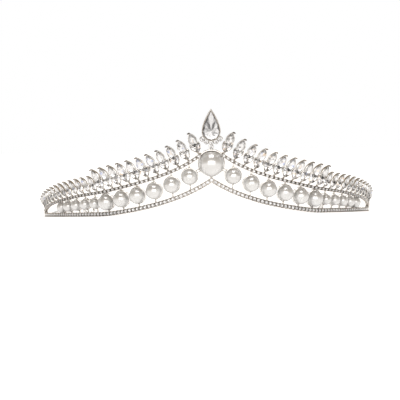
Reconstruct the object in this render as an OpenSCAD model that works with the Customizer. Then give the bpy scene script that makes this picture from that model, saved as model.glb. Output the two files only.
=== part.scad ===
// Bridal tiara: a soldered metal band of two stone-set rails with pearls between them, a row of
// leaf-shaped crystal settings standing on the upper rail, a teardrop stone at the peak and two wire arms.
// Millimetres, +Z up, the front faces -Y. It stands on the underside of its lower rail and its two loops.

/* [Band] */
// Radius of the band's round plan
band_r = 75.3; // [74:0.1:77]
// Length of each half of the band, from the centre front to its tip
band_half = 123; // [121:0.5:124]
// Outward lean of the band
band_flare = 15; // [12:1:17]
// Height of the lower rail's peak above its flat sides
peak_rise = 15; // [14:0.1:15.5]
// Distance over which the V falls away from the peak
peak_fall = 26.5; // [25:0.5:27.5]

/* [Rails] */
// Height of the lower rail at the front
low_h_front = 2.3; // [2:0.1:2.4]
// Height of the lower rail at its ends
low_h_end = 1.7; // [1.5:0.1:1.8]
// Depth of the lower rail from front to back
low_w = 2.2; // [1.8:0.1:2.4]
// Height of the upper rail at the front
top_h_front = 1.7; // [1.4:0.1:1.8]
// Height of the upper rail at its ends
top_h_end = 1.2; // [1:0.1:1.3]
// Depth of the upper rail from front to back
top_w = 1.6; // [1.2:0.1:1.8]

/* [Pearls] */
// Diameter of the centre pearl
pearl_centre_d = 12; // [11:0.1:12]
// Diameter of the six large pearls on each side
pearl_large_d = 7.5; // [6.5:0.1:7.5]
// Diameter of the five small pearls on each side
pearl_small_d = 4.9; // [4:0.1:4.9]

/* [Leaves] */
// Height of a large leaf setting above the upper rail's middle
leaf_large_h = 12.1; // [10.8:0.1:12.5]
// Size of the first small leaf setting against a large one
leaf_small_scale = 0.76; // [0.6:0.01:0.78]
// Size of the last small leaf setting against a large one
leaf_last_scale = 0.66; // [0.55:0.01:0.68]
// Outward lean of the leaves
leaf_flare = 18; // [14:1:20]

/* [Teardrop] */
// Width of the teardrop's bezel
drop_w = 8.8; // [8:0.1:9]
// Height of the bezel from the middle of its round end to its tip
drop_h = 10.65; // [10:0.05:11]
// Outward lean of the teardrop
drop_flare = 12; // [8:1:15]

/* [Wire arms] */
// Diameter of the spring wire
wire_d = 1.25; // [1:0.05:1.3]
// Radius of the loop, to the middle of the wire
loop_r = 3.3; // [3:0.1:3.6]

/* [Hidden] */
SIDE_PEARLS = 11;
LARGE_PEARLS = 6;
LARGE_LEAVES = 11;
SMALL_LEAVES = 13;

METAL = "silver";
CRYSTAL = "aliceblue";
PEARL = "floralwhite";

// The clear space between a stone or pearl and the metal that holds it
seat_gap = 0.12;
// The middle of the round plan, which puts the whole tiara over the origin
plan_y = 16.18;

// The lower rail: an exponential V that meets the flat sides
peak_dip = 2.3;
flat_from = peak_fall * ln((peak_rise + peak_dip) / peak_dip);
// The rails close on each other here, and from here to the tip they are one tongue
close_at = 114;
tongue_gap = 1;
peak_gap = 12.2;
gap_shape = 0.8;
// The upper rail's added height beside the centre pearl
shoulder_gap = 3.8;
shoulder_fall = 8;
tongue_tip_w = 0.9;
tongue_tip_h = 1.3;

function plan_angle(s) = s / band_r * 180 / PI;
function outward(s) = [sin(plan_angle(s)), -cos(plan_angle(s)), 0];
function along(s) = [cos(plan_angle(s)), sin(plan_angle(s)), 0];
function plan_point(s) = [0, plan_y, 0] + band_r * outward(s);
function mix(a, b, t) = a + (b - a) * t;
function clamp01(t) = min(1, max(0, t));
function unit(v) = v / norm(v);

// How far along the tongue a place lies, 0 before it and 1 at its tip
function tongue(s) = clamp01((s - close_at) / (band_half - close_at));
function low_h(s) = mix(mix(low_h_front, low_h_end, s / close_at), tongue_tip_h, tongue(s));
function low_depth(s) = mix(low_w, tongue_tip_w, tongue(s));
function low_slope(s) = s < flat_from ? (peak_rise + peak_dip) / peak_fall * exp(-s / peak_fall) : 0;
function low_mid(s) = low_h(s) / 2 + max(0, (peak_rise + peak_dip) * exp(-s / peak_fall) - peak_dip);

// Axes of the leaning band: up its face, and square to its face
function band_up(s) = [0, 0, cos(band_flare)] + sin(band_flare) * outward(s);
function band_out(s) = cos(band_flare) * outward(s) - [0, 0, sin(band_flare)];
function band_point(s, up, out = 0) =
    plan_point(s) + [0, 0, low_mid(s)] + up * band_up(s) + out * band_out(s);

// The upper rail's middle, measured up the band from the lower rail's middle
function rail_gap(s) = tongue_gap
    + peak_gap * pow(cos(90 * min(1, s / close_at)), gap_shape)
    + shoulder_gap * exp(-s / shoulder_fall);
function top_h(s) = mix(mix(top_h_front, top_h_end, s / close_at), tongue_tip_h / 2, tongue(s));
function top_depth(s) = mix(top_w, tongue_tip_w, tongue(s));
// Length of the upper rail over 1 mm of the band, which keeps its height square to its slope
function top_slope(s) = norm(band_point(s + 0.5, rail_gap(s + 0.5)) - band_point(s - 0.5, rail_gap(s - 0.5)));

// Where the centre pearl and the wire arch over it sit on the band
centre_up = 7.8;
arch_r = pearl_centre_d / 2 + 0.6;
arch_wire = 0.9;
arch_end = 5.2;
arch_top = centre_up + arch_r;

// A closed tube through a list of rings, each with the same number of corners.
// Seen from the first ring to the last, the corners run anticlockwise
module tube(rings) {
    n = len(rings[0]);
    last = len(rings) - 1;
    sides = [for (i = [0:last - 1], j = [0:n - 1])
        let (k = (j + 1) % n)
        each [[i * n + j, i * n + k, (i + 1) * n + k], [i * n + j, (i + 1) * n + k, (i + 1) * n + j]]];
    near_cap = [for (j = [n - 1:-1:0]) j];
    far_cap = [for (j = [0:n - 1]) last * n + j];
    polyhedron(points = [for (ring = rings) each ring], faces = concat(sides, [near_cap], [far_cap]));
}

// Four corners of a rail's section round a middle point
function section(middle, up, half_h, out, half_w) = [
    middle - half_w * out - half_h * up,
    middle + half_w * out - half_h * up,
    middle + half_w * out + half_h * up,
    middle - half_w * out + half_h * up
];

LOW_STEPS = 22;
module lower_rail() {
    places = [for (i = [-LOW_STEPS:LOW_STEPS]) i / LOW_STEPS * band_half];
    tube([for (p = places)
        let (s = abs(p), half_h = low_h(s) / 2 * sqrt(1 + pow(low_slope(s), 2)))
        section(plan_point(p) + [0, 0, low_mid(s)], [0, 0, 1], half_h, outward(p), low_depth(s) / 2)]);
}

TOP_STEPS = 20;
arch_lap = 0.5;
module upper_rail() {
    start = arch_end - arch_lap;
    places = [for (i = [0:TOP_STEPS]) mix(start, band_half, i / TOP_STEPS)];
    tube([for (s = places)
        section(band_point(s, rail_gap(s)), band_up(s), top_h(s) / 2 * top_slope(s), band_out(s),
                top_depth(s) / 2)]);
}

// The plain wire that hugs the top of the centre pearl
ARCH_STEPS = 5;
module pearl_arch() {
    tube([for (i = [-ARCH_STEPS:ARCH_STEPS])
        let (a = i / ARCH_STEPS * asin(arch_end / arch_r),
             middle = plan_point(0) + [arch_r * sin(a), 0, low_mid(0)]
                 + (centre_up + arch_r * cos(a)) * band_up(0))
        section(middle, cos(a) * band_up(0) + [sin(a), 0, 0], arch_wire / 2, band_out(0), arch_wire / 2)]);
}

// Places along the band of the side pearls, counted from the centre
large_first = 10;
large_pitch = 8.35;
small_first = 58.75;
small_pitch = 6.45;
function pearl_place(i) = i <= LARGE_PEARLS
    ? large_first + (i - 1) * large_pitch
    : small_first + (i - 1 - LARGE_PEARLS) * small_pitch;
function pearl_r(i) = (i <= LARGE_PEARLS ? pearl_large_d : pearl_small_d) / 2;
// A side pearl stands midway between the faces of the two rails
function pearl_up(i) =
    let (s = pearl_place(i),
         floor_up = (low_h(s) / 2 * sqrt(1 + pow(low_slope(s), 2)) + pearl_r(i)) / cos(band_flare),
         roof_up = rail_gap(s) - top_h(s) / 2 * top_slope(s) - pearl_r(i))
    (floor_up + roof_up) / 2;
function pearl_point(i) = band_point(pearl_place(i), pearl_up(i));
centre_point = band_point(0, centre_up);

// Puts its children at a point of the band, with +Z up its face and -Y square to its face
module on_band(s, point) {
    x = along(s);
    y = -band_out(s);
    z = band_up(s);
    multmatrix([
        [x[0], y[0], z[0], point[0]],
        [x[1], y[1], z[1], point[1]],
        [x[2], y[2], z[2], point[2]]
    ]) children();
}

// A thin collar round the back half of a pearl
large_collar_sides = 10;
small_collar_sides = 8;
collar_wall = 0.42;
collar_deep = 1.1;
collar_set = 0.35;
module collar(r) {
    sides = r < pearl_large_d / 2 ? small_collar_sides : large_collar_sides;
    inner = (r + seat_gap) / cos(180 / sides);
    translate([0, collar_set + collar_deep, 0]) rotate([90, 0, 0]) difference() {
        cylinder(r = inner + collar_wall, h = collar_deep, $fn = sides);
        translate([0, 0, -collar_deep]) cylinder(r = inner, h = 3 * collar_deep, $fn = sides);
    }
}

// A bar from one height to another up the band, behind the pearl's middle
stem_w = 0.8;
stem_end = 0.1;
module stem(from_up, to_up) {
    hull() {
        translate([-stem_w / 2, collar_set, from_up]) cube([stem_w, stem_w, stem_end]);
        translate([-stem_w / 2, collar_set, to_up - stem_end]) cube([stem_w, stem_w, stem_end]);
    }
}

module pearl_holder(i) {
    s = pearl_place(i);
    r = pearl_r(i);
    on_band(s, pearl_point(i)) {
        collar(r);
        stem(-pearl_up(i), -r - seat_gap);
        stem(r + seat_gap, rail_gap(s) - pearl_up(i));
    }
}

module centre_holder() {
    r = pearl_centre_d / 2;
    on_band(0, centre_point) {
        collar(r);
        stem(-centre_up, -r - seat_gap);
        stem(r + seat_gap, arch_r);
    }
}

// The pair of short wires between the centre pearl's collar and the next one
link_gap = 0.55;
link_wire = 0.5;
module centre_link() {
    from = centre_point;
    to = pearl_point(1);
    way = unit(to - from);
    side = unit(cross(way, band_out(0)));
    back = -(collar_set + collar_deep / 2) * band_out(0);
    near = from + (pearl_centre_d / 2 + link_wire) * way + back;
    far = to - (pearl_large_d / 2 + link_wire) * way + back;
    for (k = [-1, 1]) hull() {
        translate(near + k * link_gap * side) cube(link_wire, center = true);
        translate(far + k * link_gap * side) cube(link_wire, center = true);
    }
}

// Leaves: places along the band, leans and sizes, counted from the centre
leaf_first = 5.3;
leaf_pitch = 4.6;
small_leaf_first = 55.5;
small_leaf_last = 107;
LEAVES = LARGE_LEAVES + SMALL_LEAVES;
function leaf_place(i) = i <= LARGE_LEAVES
    ? leaf_first + (i - 1) * leaf_pitch
    : mix(small_leaf_first, small_leaf_last, (i - 1 - LARGE_LEAVES) / (SMALL_LEAVES - 1));
function far_part(s) = clamp01((s - small_leaf_first) / (small_leaf_last - small_leaf_first));
// The leaves lean away from the centre, less beside it and more towards the ends
side_lean = 25;
centre_lean = 6;
far_lean = 23;
function leaf_lean(s) = side_lean - centre_lean * exp(-s / shoulder_fall) + far_lean * pow(far_part(s), 2);
function leaf_size(i) = i <= LARGE_LEAVES
    ? leaf_large_h / leaf_model_h
    : mix(leaf_small_scale, leaf_last_scale, far_part(leaf_place(i)));

// Puts its children on the upper rail, +Z up the leaf and -Y square to its face
module on_leaf(i) {
    s = leaf_place(i);
    lean = leaf_lean(s);
    up = [0, 0, cos(leaf_flare)] + sin(leaf_flare) * outward(s);
    z = cos(lean) * up + sin(lean) * along(s);
    x = cos(lean) * along(s) - sin(lean) * up;
    y = cross(z, x);
    p = band_point(s, rail_gap(s));
    k = leaf_size(i);
    multmatrix([
        [k * x[0], k * y[0], k * z[0], p[0]],
        [k * x[1], k * y[1], k * z[1], p[1]],
        [k * x[2], k * y[2], k * z[2], p[2]]
    ]) children();
}

// Boat-shaped outline, pointed at both ends: corners as [across, along]
BOAT_STEPS = 4;
function boat(half_w, half_l, steps) = concat(
    [for (i = [0:steps]) let (t = 2 * i / steps - 1) [half_w * (1 - t * t), half_l * t]],
    [for (i = [1:steps - 1]) let (t = 1 - 2 * i / steps) [-half_w * (1 - t * t), half_l * t]]
);

// Sizes of a large leaf: main stone, its two side leaves, and their places
main_half_w = 1.85;
main_half_l = 3.6;
main_mid = 7.9;
main_crown = 1.3;
side_half_w = 0.85;
side_half_l = 2.4;
side_angle = 21;
side_base = [0.42, 1.7];
side_crown = 0.8;
table_part = 0.5;
rim = 0.22;
// The plate's points need a longer rim than its sides
rim_tip = 1.6 * rim;
plate_deep = 0.7;
claw_w = 0.5;
claw_reach = 0.75;
// The claw hooks this much to the outer side of the leaf
claw_hook = 0.6;
leaf_stem_w = 0.7;
leaf_stem_lap = 0.3;
leaf_stem_h = main_mid - main_half_l + leaf_stem_lap;
leaf_model_h = main_mid + main_half_l + seat_gap + claw_w;

module to_side_leaf(side) {
    mirror([side < 0 ? 1 : 0, 0, 0])
        translate([side_base[0], 0, side_base[1]])
            rotate([0, side_angle, 0]) translate([0, 0, side_half_l]) children();
}

// An outline stood up at a depth y, as one ring of a tube
function ring(outline, y, size = 1) = [for (p = outline) [size * p[0], y, size * p[1]]];

// A flat-backed cut stone in a boat outline, its table towards -Y
module boat_stone(half_w, half_l, crown) {
    edge = boat(half_w, half_l, BOAT_STEPS);
    tube([ring(edge, -crown, table_part), ring(edge, 0)]);
}

module boat_plate(half_w, half_l, steps) {
    translate([0, seat_gap + plate_deep, 0]) rotate([90, 0, 0])
        linear_extrude(plate_deep) polygon(boat(half_w + rim, half_l + rim_tip, steps));
}

// The claw that stands up past the stone's tip and hooks outward
module claw() {
    translate([-claw_w / 2, -claw_reach, main_mid + main_half_l + seat_gap])
        cube([claw_w + claw_hook, claw_reach + seat_gap + plate_deep, claw_w]);
}

module leaf_setting() {
    translate([0, 0, main_mid]) boat_plate(main_half_w, main_half_l, BOAT_STEPS);
    for (side = [-1, 1]) to_side_leaf(side) boat_plate(side_half_w, side_half_l, 2);
    translate([-leaf_stem_w / 2, seat_gap, 0]) cube([leaf_stem_w, plate_deep, leaf_stem_h]);
    claw();
}

// The crest: the teardrop, its cradle of small round stones and its stem, over the arch's top
cradle_r = 0.9;
cradle_up = 3.4;
cradle_step = 1.15;
cradle_out_r = drop_w / 2 + cradle_step;
cradle_angles = [-48, -24, 0, 24, 48];
stem_stone_up = arch_wire / 2 + seat_gap + cradle_r;
drop_mid = cradle_up + cradle_out_r;
drop_bottom = drop_mid - drop_w / 2;
bezel_wall = 0.5;
bezel_deep = 2.2;
bezel_floor = 0.7;
// The tip narrows faster than the wall is thick, so it is drawn in by this much more
tip_wall = 2.2;
drop_crown = 0.9;
drop_girdle = 0.5;
drop_back_part = 0.7;

module on_crest() {
    translate(band_point(0, arch_top)) rotate([drop_flare, 0, 0]) children();
}

// Teardrop outline: a round lower end, sides that close in a slow curve to the tip
DROP_STEPS = 4;
drop_shape = 1.65;
function drop(r, h) = concat(
    [for (i = [0:2 * DROP_STEPS]) let (a = 180 + 180 * i / (2 * DROP_STEPS)) [r * cos(a), r * sin(a)]],
    [for (i = [1:DROP_STEPS]) let (t = i / DROP_STEPS) [r * (1 - pow(t, drop_shape)), h * t]],
    [for (i = [DROP_STEPS - 1:-1:1]) let (t = i / DROP_STEPS) [-r * (1 - pow(t, drop_shape)), h * t]]
);

stone_w = drop_w / 2 - bezel_wall - seat_gap;
stone_h = drop_h - tip_wall * (bezel_wall + seat_gap);

module bezel() {
    translate([0, bezel_deep / 2, drop_mid]) rotate([90, 0, 0]) difference() {
        linear_extrude(bezel_deep) polygon(drop(drop_w / 2, drop_h));
        translate([0, 0, bezel_floor]) linear_extrude(bezel_deep)
            polygon(drop(drop_w / 2 - bezel_wall, drop_h - tip_wall * bezel_wall));
    }
}

// A flat round cup behind its stone
cup_wall = 0.35;
cup_back = 0.9;
cup_sides = 8;
module cup() {
    translate([0, cup_back, 0]) rotate([90, 0, 0])
        cylinder(r = cradle_r + cup_wall, h = cup_back - seat_gap, $fn = cup_sides);
}

module cradle_place(a) {
    translate([0, 0, drop_mid]) rotate([0, a, 0]) translate([0, 0, -cradle_out_r]) children();
}

// The bar that carries the crest runs from the arch up into the bezel
crest_bar_w = 1;
crest_bar_deep = 0.65;
crest_bar_from = -0.3;
module crest_metal() {
    on_crest() {
        bezel();
        for (a = cradle_angles) cradle_place(a) cup();
        translate([0, 0, stem_stone_up]) cup();
        translate([-crest_bar_w / 2, seat_gap, crest_bar_from])
            cube([crest_bar_w, crest_bar_deep, drop_bottom + bezel_wall / 2 - crest_bar_from]);
    }
}

// Flat-backed round stones of the cradle, tables towards -Y
round_sides = 8;
round_girdle = 0.3;
round_crown = 0.45;
module round_stone(r) {
    rotate([90, 0, 0]) {
        cylinder(r = r, h = round_girdle, $fn = round_sides);
        translate([0, 0, round_girdle])
            cylinder(r1 = r, r2 = table_part * r, h = round_crown, $fn = round_sides);
    }
}

module cradle_stones() {
    color(CRYSTAL) on_crest() {
        for (a = cradle_angles) cradle_place(a) round_stone(cradle_r);
        translate([0, 0, stem_stone_up]) round_stone(cradle_r);
    }
}

// The teardrop: a table, a crown, a straight girdle and a pavilion that ends in a flat back
module teardrop_stone() {
    edge = drop(stone_w, stone_h);
    front = -bezel_deep / 2;
    back = bezel_deep / 2 - bezel_floor - seat_gap;
    color(CRYSTAL) on_crest() translate([0, 0, drop_mid]) tube([
        ring(edge, front - drop_crown, table_part),
        ring(edge, front),
        ring(edge, front + drop_girdle),
        ring(edge, back, drop_back_part)
    ]);
}

module half_metal() {
    upper_rail();
    for (i = [1:SIDE_PEARLS]) pearl_holder(i);
    centre_link();
    for (i = [1:LEAVES]) on_leaf(i) leaf_setting();
}

module frame() {
    color(METAL) union() {
        lower_rail();
        pearl_arch();
        centre_holder();
        crest_metal();
        half_metal();
        mirror([1, 0, 0]) half_metal();
    }
}

// The wire arm: along the inside of the rail, a small bend, a long slow arc, then an upright loop
solder_from = 94;
solder_to = 112.8;
bend_r = 30;
bend_turn = 10;
arm_r = 115;
arm_turn = 25;
loop_heading = 57;
corner_r = 1;
loop_open = 28;
wire_sides = 6;
// The rail's inside is made of flats, whose middles lie this much nearer the wire
rail_sag = pow(band_half / LOW_STEPS, 2) / (8 * band_r);
wire_seat_r = band_r - low_w / 2 - rail_sag - wire_d / 2 - seat_gap;
loop_z = loop_r + wire_d / 2;
wire_z = low_h_end / 2;

// A point at a turn along an arc that starts at a point with a heading, inward of +Y
function arc_point(start, heading, r, turn) =
    start + r * [cos(heading + turn) - cos(heading), sin(heading + turn) - sin(heading), 0];
function seat_point(s) = [0, plan_y, wire_z] + wire_seat_r * outward(s);

bend_start = seat_point(solder_to);
bend_heading = plan_angle(solder_to) - 90;
arm_start = arc_point(bend_start, bend_heading, bend_r, bend_turn);
arm_heading = bend_heading + bend_turn;
arm_end = arc_point(arm_start, arm_heading, arm_r, arm_turn);
loop_dir = [-sin(loop_heading), cos(loop_heading), 0];
loop_side = [cos(loop_heading), sin(loop_heading), 0];
junction = [arm_end[0], arm_end[1], loop_z] + corner_r * loop_dir;
loop_middle = junction + loop_r * loop_dir;
function loop_point(t) = loop_middle - loop_r * (cos(t) * loop_dir + sin(t) * [0, 0, 1]);

SOLDER_STEPS = 4;
BEND_STEPS = 2;
ARM_STEPS = 8;
LOOP_STEPS = 12;
loop_from = 18;
loop_to = 360 - loop_open;
wire_path = concat(
    [for (i = [0:SOLDER_STEPS]) seat_point(mix(solder_from, solder_to, i / SOLDER_STEPS))],
    [for (i = [1:BEND_STEPS]) arc_point(bend_start, bend_heading, bend_r, bend_turn * i / BEND_STEPS)],
    [for (i = [1:ARM_STEPS]) arc_point(arm_start, arm_heading, arm_r, arm_turn * i / ARM_STEPS)
        + [0, 0, (loop_z - wire_z) * i / ARM_STEPS]],
    [junction - corner_r * (1 - sin(45)) * (loop_dir + [0, 0, 1])],
    [for (i = [0:LOOP_STEPS]) loop_point(mix(loop_from, loop_to, i / LOOP_STEPS))]
);

module wire_arm() {
    last = len(wire_path) - 1;
    color(METAL) tube([for (i = [0:last])
        let (t = unit(wire_path[min(i + 1, last)] - wire_path[max(i - 1, 0)]),
             a = unit(loop_side - (loop_side * t) * t),
             b = cross(a, t))
        [for (j = [0:wire_sides - 1])
            let (q = 360 * j / wire_sides) wire_path[i] + wire_d / 2 * (cos(q) * a + sin(q) * b)]]);
}

module pearl(point, r) {
    color(PEARL) translate(point) sphere(r = r, $fn = 48);
}

module main_stones() {
    color(CRYSTAL) for (i = [1:LEAVES]) on_leaf(i)
        translate([0, 0, main_mid]) boat_stone(main_half_w, main_half_l, main_crown);
}

module leaf_stones() {
    color(CRYSTAL) for (i = [1:LEAVES], side = [-1, 1]) on_leaf(i)
        to_side_leaf(side) boat_stone(side_half_w, side_half_l, side_crown);
}

frame();
wire_arm();  // wire_arm_right
mirror([1, 0, 0]) wire_arm();  // wire_arm_left
pearl(centre_point, pearl_centre_d / 2);  // pearl_centre
for (i = [1:SIDE_PEARLS]) {
    pearl(pearl_point(i), pearl_r(i));
    mirror([1, 0, 0]) pearl(pearl_point(i), pearl_r(i));
}
teardrop_stone();
cradle_stones();
main_stones();  // main_stones_right
mirror([1, 0, 0]) main_stones();  // main_stones_left
leaf_stones();  // leaf_stones_right
mirror([1, 0, 0]) leaf_stones();  // leaf_stones_left
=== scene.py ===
import math
import random

import bmesh
import bpy
from mathutils import Matrix, Vector


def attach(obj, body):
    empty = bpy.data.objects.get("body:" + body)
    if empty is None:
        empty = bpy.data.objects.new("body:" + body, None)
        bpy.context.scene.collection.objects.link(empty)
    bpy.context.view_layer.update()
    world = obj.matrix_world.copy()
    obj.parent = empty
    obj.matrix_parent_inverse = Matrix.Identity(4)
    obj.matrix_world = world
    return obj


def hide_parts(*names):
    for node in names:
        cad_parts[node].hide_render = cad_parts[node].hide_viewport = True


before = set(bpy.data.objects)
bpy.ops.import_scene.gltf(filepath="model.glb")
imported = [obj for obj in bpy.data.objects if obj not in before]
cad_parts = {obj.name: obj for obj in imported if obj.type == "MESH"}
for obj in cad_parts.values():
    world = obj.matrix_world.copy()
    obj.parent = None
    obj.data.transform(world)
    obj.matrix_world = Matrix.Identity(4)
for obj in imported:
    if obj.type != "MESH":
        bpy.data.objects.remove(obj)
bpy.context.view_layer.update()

# Lower rail: a base bar bent into a V at the front, with a row of square claw cups soldered on it side by
# side. The cups are pressed from thin brass, and all of it is silver plated after soldering.
UP = Vector((0, 0, 1))
MM = 0.001

# The band's round plan, its half length and its outward lean
BAND_R = 75.3
BAND_HALF = 123.0
PLAN_Y = 16.18
BAND_FLARE = math.radians(15)

# The V at the front, and where the rails begin to close to a tongue
PEAK_RISE = 15.0
PEAK_DIP = 2.3
PEAK_FALL = 26.5
EASE = 0.5
CLOSE_AT = 114.0
TONGUE_W = 0.9
TONGUE_H = 1.3

# The rail itself, its base bar's share of the height, and where that bar's front is behind the cups
LOW_H_FRONT = 2.3
LOW_H_END = 1.7
LOW_W = 2.2
LOW_BAR = 0.86
LOW_BAR_FRONT = -0.1


def mix(a, b, t):
    return a + (b - a) * t


def part_way(x, start, end):
    return min(1.0, max(0.0, (x - start) / (end - start)))


# Places along the band are counted from its front, with the wearer's left, +X, as plus
def outward(s):
    return Vector((math.sin(s / BAND_R), -math.cos(s / BAND_R), 0))


def along(s):
    return Vector((math.cos(s / BAND_R), math.sin(s / BAND_R), 0))


def tongue(s):
    return part_way(abs(s), CLOSE_AT, BAND_HALF)


def low_height(s):
    return mix(mix(LOW_H_FRONT, LOW_H_END, abs(s) / CLOSE_AT), TONGUE_H, tongue(s))


def low_width(s):
    return mix(LOW_W, TONGUE_W, tongue(s))


def low_rise(s):
    """The V's height over the table, eased where it runs out into the flat side"""
    rise = (PEAK_RISE + PEAK_DIP) * math.exp(-abs(s) / PEAK_FALL) - PEAK_DIP
    if rise > EASE:
        return rise
    return max(0.0, rise + EASE) ** 2 / (4 * EASE)


def low_middle(s):
    return Vector((0, PLAN_Y, low_height(s) / 2 + low_rise(s))) + BAND_R * outward(s)


def low_slope(s):
    """Rise over run along the rail, away from the V's point on either side of it"""
    step = 0.1
    near, far = (s, s + step) if s >= 0 else (s - step, s)
    return (low_rise(far) - low_rise(near)) / step


def standing(origin, across, back, up):
    """A place whose X runs across, Y to the back and Z up"""
    across, back, up = across.normalized(), back.normalized(), up.normalized()
    return Matrix(((across.x, back.x, up.x, origin.x), (across.y, back.y, up.y, origin.y),
                   (across.z, back.z, up.z, origin.z), (0, 0, 0, 1)))


def on_low_rail(s, out=0.0):
    across = (along(s) + (low_slope(s) if s else 0) * UP).normalized()
    back = -outward(s)
    return standing(low_middle(s) - out * back, across, back, across.cross(back))


# A shape is its points, its faces and one finish number for each face
# The second finish is dark painted shade for gaps, grooves and the leaves' hooks; the third is a lighter
# painted shade for the claw cups
PLATED, PAINTED_SHADE, MID_SHADE = 0, 1, 2


def round_turn(count):
    return [2 * math.pi * k / count for k in range(count)]


def loft(rings, closed=False, kind=PLATED):
    n = len(rings[0])
    points = [Vector(p) for ring in rings for p in ring]
    rounds = len(rings) if closed else len(rings) - 1
    faces = []
    for i in range(rounds):
        a, b = i * n, ((i + 1) % len(rings)) * n
        faces += [(a + j, a + (j + 1) % n, b + (j + 1) % n, b + j) for j in range(n)]
    if not closed:
        faces.append(tuple(range(n))[::-1])
        faces.append(tuple(range(len(points) - n, len(points))))
    return points, faces, [kind] * len(faces)


def placed(shape, matrix):
    points, faces, kinds = shape
    return [matrix @ p for p in points], faces, kinds


def soldered(shapes):
    points, faces, kinds = [], [], []
    for more_points, more_faces, more_kinds in shapes:
        first = len(points)
        points += more_points
        faces += [tuple(first + i for i in face) for face in more_faces]
        kinds += more_kinds
    return points, faces, kinds


# How a wire's end is rounded: how far past its last point, and how wide, in shares of its radius
WIRE_END = ((0.62, 0.45), (0.36, 0.82))
FINE_SIDES = 6


def wire(path, radius, sides=8, kind=PLATED):
    """A round wire through a path, with rounded ends; radius is one number or one for each point"""
    path = [Vector(p) for p in path]
    last = len(path) - 1
    radii = radius if isinstance(radius, (list, tuple)) else [radius] * len(path)
    side = (path[1] - path[0]).orthogonal()
    rings = []
    for i, (point, r) in enumerate(zip(path, radii)):
        way = (path[min(i + 1, last)] - path[max(i - 1, 0)]).normalized()
        side = (side - side.dot(way) * way).normalized()
        other = way.cross(side)
        spots = [math.cos(q) * side + math.sin(q) * other for q in round_turn(sides)]
        if i == 0:
            rings += [[point - past * r * way + wide * r * q for q in spots] for past, wide in WIRE_END]
        rings.append([point + r * q for q in spots])
        if i == last:
            rings += [[point + past * r * way + wide * r * q for q in spots]
                      for past, wide in reversed(WIRE_END)]
    return loft(rings, kind=kind)


def bent_wire(rows, sides=FINE_SIDES, kind=PLATED):
    """A wire through rows of x, y, z and radius"""
    return wire([row[:3] for row in rows], [row[3] for row in rows], sides, kind)


def new_finish(name):
    material = bpy.data.materials.new(name)
    material.use_nodes = True
    return material, material.node_tree, material.node_tree.nodes["Principled BSDF"]


def mottle(tree, scale, detail=2.0):
    """Cloudy patches that stay fixed to the object; a larger scale makes them finer"""
    where = tree.nodes.new("ShaderNodeTexCoord")
    patches = tree.nodes.new("ShaderNodeTexNoise")
    patches.inputs["Scale"].default_value = scale
    patches.inputs["Detail"].default_value = detail
    tree.links.new(where.outputs["Object"], patches.inputs["Vector"])
    return patches.outputs["Fac"]


def tones(tree, value, first, *others):
    """A colour for each value, blended between stops of position and colour"""
    ramp = tree.nodes.new("ShaderNodeValToRGB")
    stops = ramp.color_ramp.elements
    stops[0].position, stops[0].color = first[0], (*first[1], 1)
    stops[1].position, stops[1].color = others[-1][0], (*others[-1][1], 1)
    for position, colour in others[:-1]:
        stops.new(position).color = (*colour, 1)
    tree.links.new(value, ramp.inputs["Fac"])
    return ramp.outputs["Color"]


def span(tree, value, low, high, start=0.0, end=1.0):
    """Turns start to end into low to high"""
    scale = tree.nodes.new("ShaderNodeMapRange")
    scale.inputs["From Min"].default_value = start
    scale.inputs["From Max"].default_value = end
    scale.inputs["To Min"].default_value = low
    scale.inputs["To Max"].default_value = high
    tree.links.new(value, scale.inputs["Value"])
    return scale.outputs["Result"]


def relief(tree, value, strength, depth, shader):
    bump = tree.nodes.new("ShaderNodeBump")
    bump.inputs["Strength"].default_value = strength
    bump.inputs["Distance"].default_value = depth
    tree.links.new(value, bump.inputs["Height"])
    tree.links.new(bump.outputs["Normal"], shader.inputs["Normal"])


def sheet_metal(name, shade_tone, bright):
    """Silver plate over brass: fine polishing marks, and painted shade that darkens its tone down in the
    recesses
    """
    material, tree, shader = new_finish(name)
    shader.inputs["Metallic"].default_value = 1.0
    # Painted shade: ambient occlusion blends the base colour towards a darker tone in the recesses
    recess = tree.nodes.new("ShaderNodeAmbientOcclusion")
    recess.samples = 8
    recess.inputs["Distance"].default_value = 0.0011
    shade_base = tones(tree, recess.outputs["AO"], (0.30, shade_tone), (0.90, bright))
    patches = mottle(tree, 420.0, 4.0)
    tarnish = tones(tree, patches, (0.35, (0.76, 0.70, 0.63)), (0.55, (1, 1, 1)))
    worked = tree.nodes.new("ShaderNodeMixRGB")
    worked.blend_type = "MULTIPLY"
    worked.inputs["Fac"].default_value = 0.35
    tree.links.new(shade_base, worked.inputs["Color1"])
    tree.links.new(tarnish, worked.inputs["Color2"])
    tree.links.new(worked.outputs["Color"], shader.inputs["Base Color"])
    tree.links.new(span(tree, patches, 0.10, 0.26), shader.inputs["Roughness"])
    relief(tree, mottle(tree, 2600.0, 3.0), 0.18, 0.00004, shader)
    return material


def make_piece(name, shape, finishes, replaced=None, smooth_to=38.0):
    """A mesh in metres that rides on the tiara; edges that bend less than smooth_to degrees are smooth"""
    points, faces, kinds = shape
    mesh = bpy.data.meshes.new(name)
    mesh.from_pydata([MM * p for p in points], [], faces)
    mesh.polygons.foreach_set("material_index", kinds)
    for finish in finishes:
        mesh.materials.append(finish)
    work = bmesh.new()
    work.from_mesh(mesh)
    bmesh.ops.recalc_face_normals(work, faces=work.faces[:])
    work.to_mesh(mesh)
    work.free()
    if smooth_to:
        mesh.shade_smooth()
        mesh.set_sharp_from_angle(angle=math.radians(smooth_to))
    item = bpy.data.objects.new(name, mesh)
    bpy.context.scene.collection.objects.link(item)
    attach(item, "root")
    if replaced:
        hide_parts(replaced)
    return item


# How finely a base bar is drawn, how much its corners are eased, and how soon its front fills the tongue
BAR_STEPS = 132
BAR_CORNERS = 8
BAR_FRONT_SIDE = 3
BAR_EASE = 0.25
BAR_GROWTH = 0.3


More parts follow.
